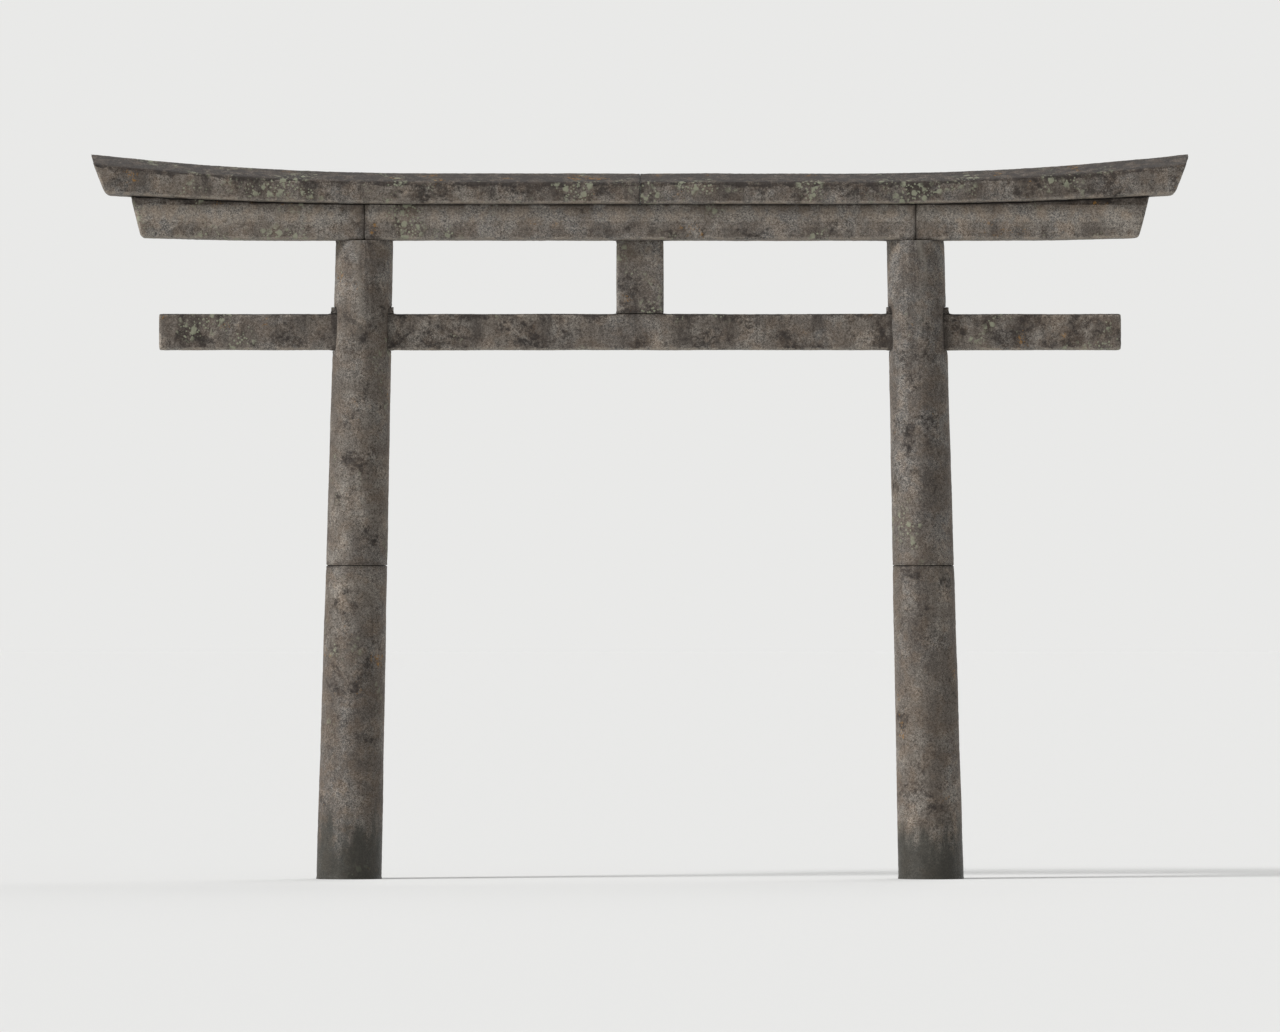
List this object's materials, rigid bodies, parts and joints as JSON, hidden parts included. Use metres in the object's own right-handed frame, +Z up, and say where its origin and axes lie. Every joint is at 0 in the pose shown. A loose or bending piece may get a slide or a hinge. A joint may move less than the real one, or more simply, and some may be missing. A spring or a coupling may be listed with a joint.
{
  "type": "stone torii gate",
  "caption": "Stone torii gate: leaning round pillars, a tie beam through them, a strut and an upturned, gabled lintel on a lower one.",
  "frame": {"origin": "centre of the left pillar's foot, on the ground, the left one as seen from the front", "axes": "+X from the left pillar to the right one, +Y from the front to the back, +Z up"},
  "size_m": [7.8684, 0.6086, 5.1856],
  "materials": {
    "pillar_stone": "matte",
    "tie_stone": "matte",
    "lintel_stone": "matte",
    "bronze": "matte"
  },
  "bodies": {
    "root": {"left_pillar_lower_drum": "pillar_stone", "left_pillar_upper_drum": "pillar_stone", "left_pillar_drum_dowel": "bronze", "right_pillar_lower_drum": "pillar_stone", "right_pillar_upper_drum": "pillar_stone", "right_pillar_drum_dowel": "bronze", "tie_middle": "tie_stone", "left_tie_end": "tie_stone", "right_tie_end": "tie_stone", "left_inner_wedge": "tie_stone", "left_outer_wedge": "tie_stone", "right_inner_wedge": "tie_stone", "right_outer_wedge": "tie_stone", "strut": "tie_stone", "lower_lintel_left": "lintel_stone", "lower_lintel_middle": "lintel_stone", "lower_lintel_right": "lintel_stone", "left_lintel_key": "bronze", "right_lintel_key": "bronze", "left_lintel_dowel": "bronze", "right_lintel_dowel": "bronze", "upper_lintel_left": "lintel_stone", "upper_lintel_right": "lintel_stone"}
  },
  "joints": []
}
